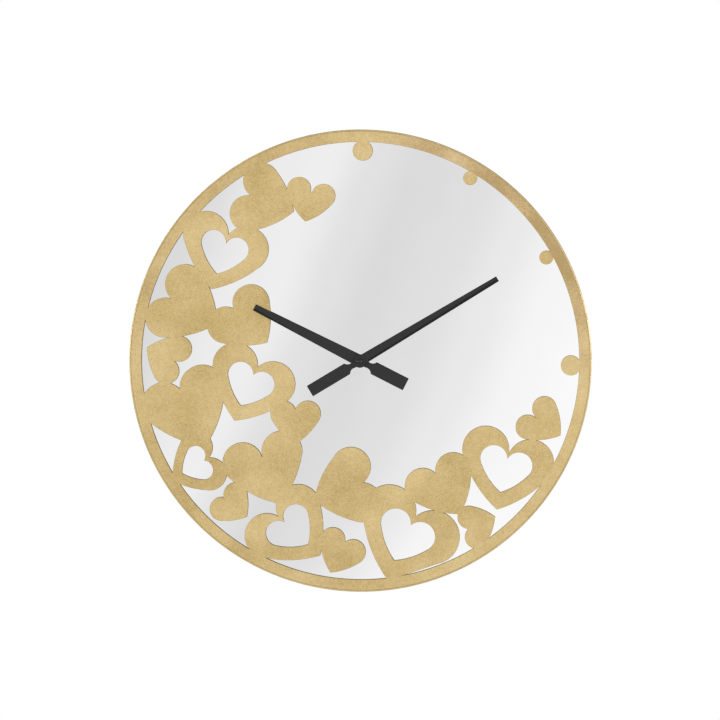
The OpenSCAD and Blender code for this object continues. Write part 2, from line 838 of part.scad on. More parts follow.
module set_knob() {
    turn = meshed(knob_way, motion_turn(), motion_n, knob_n);
    stem_to = cannon_z + cannon_t + stem_proud;
    color("#4a4a4d") on_wall() translate(knob_at) {
        bar(stem_r, knob_z, stem_to);
        bar(pivot_r, stem_to, plate_z + pivot_deep - end_play);
        gear_at(knob_n, motion_m, turn, PINION_TOOTH, cannon_z, cannon_t);
        plate_at(knob_z, knob_h) difference() {
            circle(knob_r);
            for (i = [1:knob_grips]) rotate(i * 360 / knob_grips) translate([knob_r, 0]) circle(knob_grip_r);
        }
    }
}

// Square tail of a hand, joined to the hub by a neck with a scallop on each side
module tail_outline(tail, tail_w) {
    scallop_x = neck_w / 2 + neck_r;
    scallop_y = tail_from - sqrt(pow(neck_r, 2) - pow(scallop_x - tail_w / 2, 2));
    strip_w = neck_w + neck_flare;
    difference() {
        union() {
            translate([-strip_w / 2, -tail_from]) square([strip_w, tail_from]);
            translate([-tail_w / 2, -tail]) square([tail_w, tail - scallop_y]);
        }
        for (side = [-1, 1]) translate([side * scallop_x, -scallop_y]) circle(neck_r);
    }
}

// A flat hand, turned from twelve: a round hub, a tapered blade and a tail, bored for its shaft
module hand(z, turn, bore_r, hub_r, length, tip_w, root_w, tail, tail_w) {
    on_wall() difference() {
        rotate(-turn) {
            plate_at(z, hand_t) circle(hub_r);
            plate_at(z, hand_t)
                polygon([[-root_w / 2, 0], [-tip_w / 2, length], [tip_w / 2, length], [root_w / 2, 0]]);
            plate_at(z, hand_t) tail_outline(tail, tail_w);
        }
        bar(bore_r, z - over, z + hand_t + over);
    }
}

module hour_hand() {
    color("#38383a") hand(
        hour_z, hour_turn, pipe_pilot_r, hour_hub_r,
        hour_len, hour_tip_w, hour_root_w, hour_tail, hour_tail_w
    );
}

module minute_hand() {
    color("#38383a") hand(
        minute_z, minute_turn, arbor_pilot_r, minute_hub_r,
        minute_len, minute_tip_w, minute_root_w, minute_tail, minute_tail_w
    );
}

module hand_nut() {
    color("#1a1a1c") on_wall() translate([0, 0, minute_z + hand_t]) difference() {
        intersection() {
            cylinder(r = hand_nut_r, h = hand_nut_h);
            translate([0, 0, hand_nut_h - hand_nut_dome_r]) sphere(r = hand_nut_dome_r);
        }
        bar(arbor_pilot_r, -over, hand_nut_bite);
    }
}

front_panel();
rim_hoop();
rim_gasket();
mirror_glass();
mirror_tape();
back_board();
retaining_tab(1);  // retaining_tab_1
retaining_tab(2);  // retaining_tab_2
retaining_tab(3);  // retaining_tab_3
retaining_tab(4);  // retaining_tab_4
retaining_tab(5);  // retaining_tab_5
retaining_tab(6);  // retaining_tab_6
tab_screws();
hanger_plate();
movement_case();
movement_cover();
shaft_bushing();
bushing_washer();
bushing_nut();
stator();
coil_core();
coil_bobbin();
coil_winding();
circuit_board();
control_chip();
quartz_crystal();
contact_positive();
contact_negative();
battery();
minute_arbor();
centre_wheel();
minute_hand();
hand_nut();
hour_wheel();
hour_hand();
motion_wheel();
set_knob();
third_wheel();
fourth_wheel();
fifth_wheel();
rotor();
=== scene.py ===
"""Looks of a round mirror clock: gold hearts over a mirror, black hands, and a plain back."""
import json
import math

import bmesh
import bpy
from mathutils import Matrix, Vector


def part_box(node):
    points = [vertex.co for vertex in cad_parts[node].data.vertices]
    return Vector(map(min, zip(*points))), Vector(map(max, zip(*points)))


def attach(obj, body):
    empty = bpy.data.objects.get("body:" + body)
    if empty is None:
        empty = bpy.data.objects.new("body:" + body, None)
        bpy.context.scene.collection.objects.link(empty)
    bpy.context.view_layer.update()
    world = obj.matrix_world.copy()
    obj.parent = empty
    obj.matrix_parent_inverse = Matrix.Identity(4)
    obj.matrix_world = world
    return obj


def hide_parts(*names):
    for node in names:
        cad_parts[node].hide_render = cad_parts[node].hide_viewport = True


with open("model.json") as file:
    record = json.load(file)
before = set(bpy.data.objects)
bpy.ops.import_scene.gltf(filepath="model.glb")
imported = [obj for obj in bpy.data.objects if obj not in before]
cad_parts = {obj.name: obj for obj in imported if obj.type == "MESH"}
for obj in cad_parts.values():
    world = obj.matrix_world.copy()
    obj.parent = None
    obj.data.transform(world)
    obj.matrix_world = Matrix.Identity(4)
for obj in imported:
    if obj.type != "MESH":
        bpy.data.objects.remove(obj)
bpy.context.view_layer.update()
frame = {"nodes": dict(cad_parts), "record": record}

MM = 0.001
NODES = frame["nodes"]
RECORD = frame["record"]
BODY_OF = {node: body for body, nodes in RECORD["behaviour"]["bodies"].items() for node in nodes}
SLOT_OF = {part["node"]: part["material_slot"] for part in RECORD["subparts"]}

# The dial, from the frame: its axis runs along Y, and its front looks along -Y
DIAL = Vector(next(j["pos_m"] for j in RECORD["behaviour"]["joints"] if j["name"] == "minute_turn"))
HOOP_LOW, HOOP_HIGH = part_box("rim_hoop")
HOOP_R = (HOOP_HIGH.z - HOOP_LOW.z) / 2
FACE_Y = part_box("front_panel")[0].y
FRONT = Vector((0, -1, 0))
BACK = Vector((0, 1, 0))


# Node trees

class Graph:
    """A node tree under construction.

    Lengths are in metres of the object's own frame, so a grain keeps its size.
    """

    def __init__(self, tree, place="Object"):
        self.tree = tree
        self.place = self.node("ShaderNodeTexCoord").outputs[place]

    def node(self, kind, inputs=(), **settings):
        """A new node with its settings, and values or links for its inputs."""
        made = self.tree.nodes.new(kind)
        for name, value in settings.items():
            setattr(made, name, value)
        for key, value in dict(inputs).items():
            self.put(made.inputs[key], value)
        return made

    def put(self, socket, value):
        """Links a socket to an input, or sets the input to a value."""
        if isinstance(value, bpy.types.NodeSocket):
            self.tree.links.new(value, socket)
        elif isinstance(value, tuple) and len(value) == 3 and socket.type == "RGBA":
            socket.default_value = (*value, 1)
        else:
            socket.default_value = value

    def math(self, operation, a, b=0.0, clamp=False):
        return self.node("ShaderNodeMath", {0: a, 1: b}, operation=operation, use_clamp=clamp).outputs[0]

    def vector(self, operation, a, b=(0, 0, 0), output="Vector"):
        return self.node("ShaderNodeVectorMath", {0: a, 1: b}, operation=operation).outputs[output]

    def about(self, *shares):
        """A value about 0.5, to which each share adds its own spread about 0.5 times its weight."""
        whole = 0.5
        for value, weight in shares:
            spread = self.math("MULTIPLY", self.math("SUBTRACT", value, 0.5), weight)
            whole = self.math("ADD", whole, spread)
        return whole

    def stretched(self, stretch=(1, 1, 1), turn=(0, 0, 0), place=None):
        """The place, turned and then drawn out along its axes."""
        grown = tuple(1 / s for s in stretch)
        turned = self.node("ShaderNodeMapping", {"Vector": place or self.place, "Rotation": turn})
        return self.node("ShaderNodeMapping", {"Vector": turned.outputs[0], "Scale": grown}).outputs[0]

    def noise(self, size, detail=2.0, roughness=0.5, place=None, output="Fac"):
        """Soft noise whose features are about size across, from 0 to 1."""
        return self.node("ShaderNodeTexNoise", {
            "Vector": place or self.place, "Scale": 1 / size, "Detail": detail, "Roughness": roughness,
        }).outputs[output]

    def cells(self, size, feature="F1", output="Distance", place=None):
        """Cells about size across: their distance, or one random colour each."""
        inputs = {"Vector": place or self.place, "Scale": 1 / size}
        return self.node("ShaderNodeTexVoronoi", inputs, feature=feature).outputs[output]

    def sheets(self, size, waver, place=None):
        """One random value for each square leaf, whose edges waver a little."""
        shake = self.vector("SUBTRACT", self.noise(size / 5, detail=3, output="Color"), (0.5, 0.5, 0.5))
        sway = self.node("ShaderNodeVectorMath", {0: shake, "Scale": waver}, operation="SCALE").outputs[0]
        shaken = self.vector("ADD", place or self.place, sway)
        leaf = self.vector("SNAP", shaken, (size, size, size))
        return self.node("ShaderNodeTexWhiteNoise", {0: leaf}).outputs[0]

    def ramp(self, value, *stops):
        """Colours or greys along a value: each stop is a place from 0 to 1 and what it gives."""
        made = self.node("ShaderNodeValToRGB", {"Fac": value})
        marks = made.color_ramp.elements
        while len(marks) < len(stops):
            marks.new(0.5)
        for mark, (place, tone) in zip(marks, stops):
            mark.position = place
            mark.color = (*tone, 1) if isinstance(tone, tuple) else (tone, tone, tone, 1)
        return made.outputs["Color"]

    def mix(self, share, a, b, mode="MIX"):
        made = self.node("ShaderNodeMix", {0: share, 6: a, 7: b}, data_type="RGBA", blend_type=mode)
        return made.outputs[2]

    def bump(self, height, depth, strength=1.0, under=None):
        """Relief of a real depth in metres, laid over an earlier relief if one is given."""
        made = self.node("ShaderNodeBump", {"Height": height, "Distance": depth, "Strength": strength})
        if under:
            self.put(made.inputs["Normal"], under)
        return made.outputs["Normal"]

    def axis(self, name, of=None):
        """One coordinate of a place."""
        return self.node("ShaderNodeSeparateXYZ", {0: of or self.place}).outputs[name]

    def round_place(self, centre=DIAL):
        """The place rolled out round an axis along Y: along the rim, out from the axis, and in depth."""
        x, y, z = self.node("ShaderNodeSeparateXYZ", {
            0: self.vector("SUBTRACT", self.place, (centre.x, 0, centre.z)),
        }).outputs
        angle = self.math("ARCTAN2", x, z)
        squares = self.math("ADD", self.math("MULTIPLY", x, x), self.math("MULTIPLY", z, z))
        radius = self.math("SQRT", squares)
        along = self.math("MULTIPLY", angle, HOOP_R)
        return self.node("ShaderNodeCombineXYZ", {0: along, 1: radius, 2: y}).outputs[0]


class Finish(Graph):
    """A material under construction: one Principled shader and the nodes that feed it."""

    def __init__(self, name, **sockets):
        self.material = bpy.data.materials.new(name)
        self.material.use_nodes = True
        super().__init__(self.material.node_tree)
        self.shader = self.tree.nodes["Principled BSDF"]
        for socket, value in sockets.items():
            self.feed(socket.replace("_", " ").title().replace("Ior", "IOR"), value)

    def feed(self, socket, value):
        """Sets or links an input of the shader."""
        self.put(self.shader.inputs[socket], value)

    def coat(self, tone, colours, roughness, low=0.3, high=0.7):
        """Colours along one tone, darkest first, and the roughness at either end, if given."""
        step = (high - low) / (len(colours) - 1)
        self.feed("Base Color", self.ramp(tone, *((low + i * step, c) for i, c in enumerate(colours))))
        if roughness:
            self.feed("Roughness", self.ramp(tone, (low, roughness[0]), (high, roughness[1])))

    def glaze(self, share, colour, mode="MIX"):
        """Lays another colour over the base colour that is there."""
        under = self.shader.inputs["Base Color"].links[0].from_socket
        self.feed("Base Color", self.mix(share, under, colour, mode))


# Gold

LEAF = ((0.519, 0.366, 0.141), (0.731, 0.549, 0.252), (0.885, 0.715, 0.397))
EDGE = ((0.33, 0.215, 0.082), (0.5, 0.355, 0.152), (0.64, 0.485, 0.235))
CUT = ((0.15, 0.09, 0.035), (0.3, 0.2, 0.08))
BOLE = ((0.13, 0.075, 0.032), (0.24, 0.15, 0.07))
# Where the ring is darker from its painted shade or its patches, the leaf is greyer too: a tint, and its
# share for each step of tone
SHADE_GREY_TINT = (1.06, 1.07, 1.27)
SHADE_GREY_SHARE = 9.0
LEAF_SIZE = 84 * MM
GRAIN = 1.3 * MM
GRAIN_DEEP = 0.03 * MM
RING_FROM = HOOP_R - 16 * MM
# Painted shade and light on the ring's leaf: darker from twelve to three and brighter below: turns past six
# o'clock, and tone
RING_PAINTED_SHADE_TONES = (
    (0.0, 0.49), (0.17, 0.5), (0.33, 0.46), (0.5, 0.5), (0.54, 0.37),
    (0.72, 0.4), (0.77, 0.49), (0.87, 0.56), (1.0, 0.49),
)


def leaf_tone(finish, place=None):
    """Gold leaf as one value about 0.5: fine grain, faint flecks, and the drift from leaf to leaf."""
    return finish.about(
        (finish.noise(1.5 * MM, detail=2, roughness=0.6, place=place), 0.56),
        (finish.noise(4.5 * MM, detail=3, roughness=0.6, place=place), 0.24),
        (finish.noise(30 * MM, detail=1, place=place), 0.15),
        (finish.noise(90 * MM, detail=1, place=place), 0.3),
        (finish.sheets(LEAF_SIZE, 9 * MM, place), 0.03),
    )


def gold_leaf():
    """Leaf over a smooth sheet, with painted shade and light round the narrow ring and random patches on it.
    """
    finish = Finish("gold_leaf", metallic=1.0)
    rolled = finish.round_place()
    on_ring = finish.math("GREATER_THAN", finish.axis("Y", rolled), RING_FROM)
    turns = finish.math("ADD", finish.math("DIVIDE", finish.axis("X", rolled), math.tau * HOOP_R), 0.5)
    # On the ring only: painted shade and light by the angle round the dial, with random patches of tone
    ring_painted_shade_and_patches = finish.about((finish.ramp(turns, *RING_PAINTED_SHADE_TONES), 1.0), (finish.noise(42 * MM, detail=2), 0.18))
    ring_painted_shade_and_patch_offset = finish.math("MULTIPLY", on_ring, finish.math("SUBTRACT", ring_painted_shade_and_patches, 0.5))
    finish.coat(finish.math("ADD", leaf_tone(finish), ring_painted_shade_and_patch_offset), LEAF, (0.5, 0.36))
    finish.glaze(finish.math("MULTIPLY", ring_painted_shade_and_patch_offset, -SHADE_GREY_SHARE, clamp=True), SHADE_GREY_TINT, "MULTIPLY")
    finish.feed("Normal", finish.bump(finish.noise(GRAIN, detail=3), GRAIN_DEEP, 0.6))
    return finish.material


def leaf_edge():
    """Rubbed leaf on the rounded edge of the sheet, with the brown ground showing through."""
    finish = Finish("leaf_edge", metallic=0.85)
    finish.coat(finish.noise(2.2 * MM, detail=4, roughness=0.65), EDGE, (0.58, 0.42))
    return finish.material


def cut_edge():
    """The sheet's cut edge: brown, with the fine marks of the cutter across it."""
    finish = Finish("cut_edge", metallic=0.6)
    marks = finish.noise(0.5 * MM, detail=2, place=finish.stretched((1, 12, 1)))
    finish.coat(marks, CUT, (0.65, 0.45))
    finish.feed("Normal", finish.bump(marks, 0.03 * MM, 0.6))
    return finish.material


def bole():
    """Brown ground coat on the hidden back of the sheet."""
    finish = Finish("bole", specular_ior_level=0.3)
    tone = finish.noise(4 * MM, detail=4, roughness=0.65)
    finish.coat(tone, BOLE, (0.75, 0.6))
    finish.feed("Normal", finish.bump(tone, 0.05 * MM, 0.5))
    return finish.material


def rim_gold():
    """Leaf round the hoop, with the laps between the leaves."""
    finish = Finish("rim_gold", metallic=1.0)
    rolled = finish.round_place()
    finish.coat(leaf_tone(finish, rolled), LEAF, (0.48, 0.33))
    wander = finish.math("MULTIPLY", finish.noise(12 * MM, detail=3, place=rolled), 10 * MM)
    along = finish.math("DIVIDE", finish.math("ADD", finish.axis("X", rolled), wander), LEAF_SIZE)
    seams = finish.ramp(finish.math("PINGPONG", along, 0.5), (0.0, 0.5), (0.012, 0.0))
    finish.glaze(seams, EDGE[1])
    finish.feed("Normal", finish.bump(finish.noise(GRAIN, detail=3), GRAIN_DEEP, 0.25))
    return finish.material


# Glass and enamel

def silvered_glass():
    """Mirror: a silvered plane with a faint film."""
    finish = Finish("silvered_glass", metallic=1.0)
    film = finish.noise(60 * MM, detail=3)
    finish.coat(film, ((0.94, 0.94, 0.941), (0.955, 0.955, 0.956)), (0.0, 0.012))
    return finish.material


def enamel(name, dark, light, roughness, gloss):
    """Black enamel with a fine orange peel."""
    finish = Finish(name, specular_ior_level=gloss)
    grain = finish.noise(1.2 * MM, detail=3, roughness=0.6)
    finish.coat(grain, (dark, light), (roughness + 0.06, roughness - 0.06))
    finish.feed("Normal", finish.bump(grain, 0.01 * MM, 0.5))
    return finish.material


# Metals and plastics of the back and the movement

def grained_metal(name, dark, light, roughness, size):
    """Metal with a fine random grain."""
    finish = Finish(name, metallic=1.0)
    grain = finish.noise(size, detail=4, roughness=0.6)
    finish.coat(grain, (dark, light), (roughness + 0.08, roughness - 0.08))
    finish.feed("Normal", finish.bump(grain, 0.02 * MM, 0.4))
    return finish.material


def zinc_plate():
    """Galvanised sheet: grey spangles, and fine scratches along it."""
    finish = Finish("zinc_plate", metallic=1.0)
    spangle = finish.axis("X", finish.cells(3.5 * MM, output="Color"))
    scratch = finish.noise(0.5 * MM, detail=2, place=finish.stretched((14, 1, 1), (0, 0.2, 0)))
    tone = finish.about((spangle, 0.14), (finish.noise(9 * MM, detail=3), 0.45), (scratch, 0.3))
    finish.coat(tone, ((0.4, 0.41, 0.42), (0.52, 0.53, 0.54), (0.62, 0.63, 0.64)), (0.48, 0.34))
    finish.feed("Normal", finish.bump(scratch, 0.01 * MM, 0.5))
    return finish.material


def turned_brass():
    """Brass with the rings of the lathe."""
    finish = Finish("brass_turned", metallic=1.0)
    radius = finish.axis("Y", finish.round_place())
    rings = finish.math("PINGPONG", finish.math("DIVIDE", radius, 0.25 * MM), 1.0)
    tone = finish.about((finish.noise(3 * MM, detail=3), 0.8), (rings, 0.2))
    finish.coat(tone, ((0.5, 0.34, 0.115), (0.78, 0.58, 0.26)), (0.42, 0.24))
    finish.feed("Normal", finish.bump(rings, 0.015 * MM, 0.6))
    return finish.material


def copper_wire():
    """Enamelled wire laid turn by turn along the bobbin."""
    finish = Finish("copper_wire", metallic=1.0)
    turns = finish.math("PINGPONG", finish.math("DIVIDE", finish.axis("X"), 0.12 * MM), 1.0)
    tone = finish.about((finish.noise(1.5 * MM, detail=3), 0.6), (turns, 0.4))
    finish.coat(tone, ((0.4, 0.15, 0.06), (0.72, 0.34, 0.16)), (0.4, 0.26))
    finish.feed("Normal", finish.bump(turns, 0.05 * MM, 0.8))
    return finish.material


def moulded(name, dark, light, roughness, size=0.6 * MM):
    """Moulded plastic with an eroded grain."""
    finish = Finish(name, specular_ior_level=0.45)
    grain = finish.cells(size)
    flow = finish.noise(25 * MM, detail=3)
    finish.coat(flow, (dark, light), None)
    finish.feed("Roughness", finish.ramp(grain, (0.0, roughness - 0.06), (0.8, roughness + 0.08)))
    finish.feed("Normal", finish.bump(grain, 0.03 * MM, 0.5))
    return finish.material


def circuit_green():
    """Lacquered board with buried tracks."""
    finish = Finish("circuit_green", specular_ior_level=0.5)
    tracks = finish.ramp(finish.cells(2.2 * MM, "DISTANCE_TO_EDGE"), (0.04, 1.0), (0.07, 0.0))
    green = finish.ramp(finish.noise(3 * MM), (0.3, (0.015, 0.1, 0.04)), (0.7, (0.025, 0.14, 0.055)))
    finish.feed("Base Color", finish.mix(tracks, green, (0.06, 0.27, 0.09)))
    finish.feed("Roughness", finish.ramp(tracks, (0.0, 0.34), (1.0, 0.26)))
    finish.feed("Normal", finish.bump(tracks, 0.03 * MM, 0.6))
    return finish.material


def fibreboard():
    """Pressed board: long fibres and dark shives in a warm brown."""
    finish = Finish("fibreboard", specular_ior_level=0.25)
    fibres = finish.noise(1.2 * MM, detail=3, place=finish.stretched((6, 1, 1), (0, 0.5, 0)))
    across = finish.noise(1.0 * MM, detail=3, place=finish.stretched((1, 1, 6), (0, -0.4, 0)))
    flakes = finish.cells(2.5 * MM, place=finish.stretched((4, 1, 1), (0, 0.9, 0)))
    shives = finish.ramp(flakes, (0.1, 0.2), (0.2, 0.5))
    clouds = finish.noise(14 * MM, detail=5, roughness=0.65)
    tone = finish.about((clouds, 0.28), (fibres, 0.35), (across, 0.35), (shives, 0.3))
    browns = ((0.19, 0.118, 0.062), (0.31, 0.205, 0.115), (0.42, 0.3, 0.18))
    finish.coat(tone, browns, (0.85, 0.7), 0.32, 0.68)
    finish.feed("Normal", finish.bump(finish.math("ADD", fibres, across), 0.05 * MM, 0.5))
    return finish.material


BATTERY_LOW, BATTERY_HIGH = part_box("battery")
BATTERY_BAND = 14 * MM
BATTERY_CAP = 1.5 * MM


def battery_wrap():
    """Foil wrap without print: a copper band at the button end, and bare steel at both ends."""
    finish = Finish("battery_wrap", specular_ior_level=0.5)
    length = BATTERY_HIGH.x - BATTERY_LOW.x
    along = finish.math("DIVIDE", finish.math("SUBTRACT", finish.axis("X"), BATTERY_LOW.x), length)
    cap, band = BATTERY_CAP / length, 1 - BATTERY_BAND / length
    sheen = finish.noise(9 * MM, detail=3)
    black = finish.ramp(sheen, (0.3, (0.012, 0.012, 0.013)), (0.7, (0.022, 0.022, 0.023)))
    copper = finish.ramp(sheen, (0.3, (0.42, 0.19, 0.07)), (0.7, (0.55, 0.27, 0.11)))
    steel = finish.ramp(sheen, (0.3, (0.5, 0.5, 0.5)), (0.7, (0.62, 0.62, 0.62)))
    banded = finish.math("GREATER_THAN", along, band)
    from_middle = finish.math("ABSOLUTE", finish.math("SUBTRACT", along, 0.5))
    bare = finish.math("GREATER_THAN", from_middle, 0.5 - cap)
    finish.feed("Base Color", finish.mix(bare, finish.mix(banded, black, copper), steel))
    finish.feed("Metallic", finish.math("MAXIMUM", bare, banded))
    finish.feed("Roughness", finish.ramp(sheen, (0.3, 0.32), (0.7, 0.24)))
    return finish.material


MATERIALS = {
    "gold_leaf": gold_leaf(),
    "rim_gold": rim_gold(),
    "foam_black": moulded("foam_black", (0.012, 0.012, 0.012), (0.025, 0.025, 0.025), 0.9, 0.9 * MM),
    "silvered_glass": silvered_glass(),
    "foam_white": moulded("foam_white", (0.7, 0.69, 0.66), (0.82, 0.81, 0.78), 0.9, 0.9 * MM),
    "fibreboard": fibreboard(),
    "zinc_plate": zinc_plate(),
    "movement_plastic": moulded("movement_plastic", (0.016, 0.016, 0.017), (0.028, 0.028, 0.029), 0.5),
    "brass_turned": turned_brass(),
    "lamination": grained_metal("lamination", (0.3, 0.31, 0.33), (0.42, 0.43, 0.45), 0.4, 1 * MM),
    "bobbin_plastic": moulded("bobbin_plastic", (0.68, 0.65, 0.56), (0.78, 0.75, 0.66), 0.5),
    "copper_wire": copper_wire(),
    "circuit_green": circuit_green(),
    "chip_black": moulded("chip_black", (0.01, 0.01, 0.01), (0.018, 0.018, 0.018), 0.55),
    "tin_can": grained_metal("tin_can", (0.58, 0.59, 0.6), (0.7, 0.71, 0.72), 0.3, 1 * MM),
    "contact_spring": grained_metal("contact_spring", (0.62, 0.58, 0.48), (0.74, 0.7, 0.6), 0.3, 2 * MM),
    "battery_wrap": battery_wrap(),
    "steel_arbor": grained_metal("steel_arbor", (0.48, 0.48, 0.49), (0.6, 0.6, 0.61), 0.3, 1 * MM),
    "gear_plastic": moulded("gear_plastic", (0.72, 0.71, 0.67), (0.82, 0.81, 0.78), 0.45),
    "hand_black": enamel("hand_black", (0.021, 0.021, 0.0208), (0.0275, 0.0275, 0.0272), 0.5, 0.3),
    "nut_black": enamel("nut_black", (0.014, 0.014, 0.014), (0.022, 0.022, 0.022), 0.16, 0.4),
    "knob_plastic": moulded("knob_plastic", (0.03, 0.03, 0.031), (0.05, 0.05, 0.051), 0.5),
}
LEAF_EDGE = leaf_edge()
CUT_EDGE = cut_edge()
PANEL_BACK = bole()
# A darker copy of the hands' black enamel: painted shade on their facets, rounded edges and sides
HAND_PAINTED_SHADE = enamel("hand_painted_shade", (0.008, 0.008, 0.0079), (0.012, 0.012, 0.0118), 0.55, 0.2)


def dress_nodes():
    """Gives each CAD node the finish of its material slot."""
    for node in NODES.values():
        for slot in node.material_slots:
            slot.material = MATERIALS[slot.material.name]


# Pieces that stand for a node: a copy of its solid with the edges and facets that the real one has

WELD = 0.001 * MM
NEAR = 2 * WELD
FLAT = math.radians(0.3)
SHARP = math.radians(30)
# Cosine within which a sloping face still counts as looking along a direction
ROUGHLY = 0.9


def welded(node):
    """A node's solid with its seams closed and each flat face in one piece."""
    shape = bmesh.new()
    shape.from_mesh(NODES[node].data)
    bmesh.ops.remove_doubles(shape, verts=shape.verts, dist=WELD)
    bmesh.ops.dissolve_degenerate(shape, edges=shape.edges, dist=WELD)
    bmesh.ops.dissolve_limit(shape, angle_limit=FLAT, verts=shape.verts, edges=shape.edges)
    shape.normal_update()
    for face in shape.faces:
        face.material_index = 0
    return shape


def looking(shape, way, least=0.99):
    """The faces that look along a direction."""
    return [face for face in shape.faces if face.normal.dot(way) > least]


def rim_of(faces):
    """The edges round a set of faces."""
    chosen = set(faces)
    return [edge for face in faces for edge in face.edges
            if sum(link in chosen for link in edge.link_faces) == 1]


def creased(shape, least_length=0.0):
    """The sharp edges of a solid, but for the short ones."""
    return [edge for edge in shape.edges if len(edge.link_faces) == 2
            and edge.calc_face_angle(0) > SHARP and edge.calc_length() > least_length]


def round_off(shape, edges, width, steps=2, clamp=False):
    """Rounds edges and returns the new faces."""
    made = bmesh.ops.bevel(
        shape, geom=list(set(edges)), offset=width, offset_type="OFFSET", segments=steps, profile=0.5,
        affect="EDGES", clamp_overlap=clamp, material=-1,
    )
    shape.normal_update()
    return made["faces"]


def add_piece(shape, name, nodes, materials):
    """Makes a piece of a finished solid, in the place of CAD nodes and on their body."""
    mesh = bpy.data.meshes.new(name)
    shape.to_mesh(mesh)
    shape.free()
    for material in materials:
        mesh.materials.append(material)
    mesh.shade_smooth()
    mesh.set_sharp_from_angle(angle=SHARP)
    piece = bpy.data.objects.new(name, mesh)
    bpy.context.scene.collection.objects.link(piece)
    steady = piece.modifiers.new("steady_normals", "WEIGHTED_NORMAL")
    steady.keep_sharp = True
    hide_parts(*nodes)
    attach(piece, BODY_OF[nodes[0]])
    return piece


PANEL_EDGE = 0.35 * MM


def add_face_sheet():
    """The cut sheet: leaf on its front, rubbed along the rounded edge, brown on its cut and its back."""
    shape = welded("front_panel")
    rounded = set(round_off(shape, rim_of(looking(shape, FRONT)), PANEL_EDGE))
    for face in shape.faces:
        if face in rounded:
            face.material_index = 1
        elif face.normal.dot(BACK) > ROUGHLY:
            face.material_index = 3
        elif face.normal.dot(FRONT) < ROUGHLY:
            face.material_index = 2
    materials = (MATERIALS["gold_leaf"], LEAF_EDGE, CUT_EDGE, PANEL_BACK)
    add_piece(shape, "face_sheet", ["front_panel"], materials)


# Each hand's degrees past twelve, as in the part's source, and then its facet: the side, clockwise or not,
# how far out it starts, and its width there and at the tip
HANDS = {
    "minute_hand": (59, 1, 10 * MM, 2.8 * MM, 3.4 * MM),
    "hour_hand": (297, -1, 75 * MM, 0.6 * MM, 3.2 * MM),
}
FACET_DROP = 0.4 * MM
HAND_EDGE = 0.3 * MM


def add_hand(node, degrees, way, start_reach, start_width, tip_width):
    """A hand with a pressed facet along one side, which slopes more toward the tip; the facet, the rounded
    edges and the sides take a darker enamel as painted shade.
    """
    turn = math.radians(degrees)
    along = Vector((math.sin(turn), 0, math.cos(turn)))
    across = Vector((math.cos(turn), 0, -math.sin(turn))) * way
    shape = welded(node)

    def reach(point):
        return (point - DIAL).dot(along)

    def side(point):
        return (point - DIAL).dot(across)

    def cut(faces, at, normal):
        edges = {edge for face in faces for edge in face.edges}
        verts = {vert for face in faces for vert in face.verts}
        bmesh.ops.bisect_plane(shape, geom=[*faces, *edges, *verts], plane_co=at, plane_no=normal, dist=WELD)

    length = max(reach(vert.co) for vert in shape.verts)
    cut(looking(shape, FRONT), DIAL + along * start_reach, along)
    blade = [face for face in looking(shape, FRONT) if reach(face.calc_center_median()) > start_reach]
    root = max(side(vert.co) for vert in shape.verts if abs(reach(vert.co) - start_reach) < NEAR)
    tip = max(side(vert.co) for vert in shape.verts if reach(vert.co) > length - NEAR)
    start = DIAL + along * start_reach + across * (root - start_width)
    crease = DIAL + along * length + across * (tip - tip_width) - start
    outward = crease.cross(FRONT).normalized()
    outward *= math.copysign(1, outward.dot(across))
    cut(blade, start, outward)

    facet = [face for face in looking(shape, FRONT) if reach(face.calc_center_median()) > start_reach
             and (face.calc_center_median() - start).dot(outward) > 0]
    for vert in {vert for face in facet for vert in face.verts}:
        if (vert.co - start).dot(outward) > NEAR:
            vert.co += BACK * FACET_DROP * (reach(vert.co) - start_reach) / (length - start_reach)
    shape.normal_update()
    # Painted shade: the facet, and then the rounded edges and sides, take the darker enamel
    for face in facet:
        face.material_index = 1
    rounded = round_off(shape, rim_of(looking(shape, FRONT, ROUGHLY)), HAND_EDGE, steps=1)
    for face in {*rounded, *(face for face in shape.faces if face.normal.dot(FRONT) < 0.5)}:
        face.material_index = 1
    add_piece(shape, node + "_pressed", [node], (MATERIALS["hand_black"], HAND_PAINTED_SHADE))


SOFT_EDGES = {
    "movement_cover": (0.4 * MM, 3 * MM),
    "hanger_plate": (0.3 * MM, 0.6 * MM),
    "back_board": (0.6 * MM, 3 * MM),
    **{"retaining_tab_%d" % i: (0.25 * MM, 0.6 * MM) for i in range(1, 7)},
}


def soften(node, width, least_length):
    """A rigid piece with its sharp edges broken."""
    shape = welded(node)
    round_off(shape, creased(shape, least_length), width)
    add_piece(shape, node + "_soft", [node], (MATERIALS[SLOT_OF[node]],))


def wrap(shape, rings):
    """Faces between rings of points, in order."""
    for one, two in zip(rings, rings[1:]):
        steps = max(len(one), len(two))
        for i in range(steps):
            j = (i + 1) % steps
            corners = [one[i % len(one)], one[j % len(one)], two[j % len(two)], two[i % len(two)]]
            shape.faces.new(list(dict.fromkeys(corners)))


def turned(shape, spot, axis, profile, steps, closed=False):
    """Rings of points of a turned solid; each pair of its profile is a place along the axis and a radius."""
    one = axis.orthogonal().normalized()
    two = axis.cross(one)
    rings = []
    for along, radius in profile:
        turns = [math.tau * i / steps for i in range(steps if radius else 1)]
        places = [spot + axis * along + (one * math.cos(t) + two * math.sin(t)) * radius for t in turns]
        rings.append([shape.verts.new(place) for place in places])
    wrap(shape, rings + rings[:1] if closed else rings)
    return rings


def quarter_round(along, radius, size, steps=6):
    """Profile of an outer edge rounded to a quarter circle, from the side to the end at along."""
    turns = [math.pi / 2 * i / steps for i in range(steps + 1)]
    return [(along - size * (1 - math.sin(t)), radius - size * (1 - math.cos(t))) for t in turns]


HOOP_STEPS = 360
HOOP_WALL = 2 * MM
HOOP_ROUND = 1.5 * MM
HOOP_BREAK = 0.3 * MM
HOOP_CLEAR = 0.05 * MM
LEDGE_HIGH = 1.4 * MM
LEDGE_THICK = 2 * MM


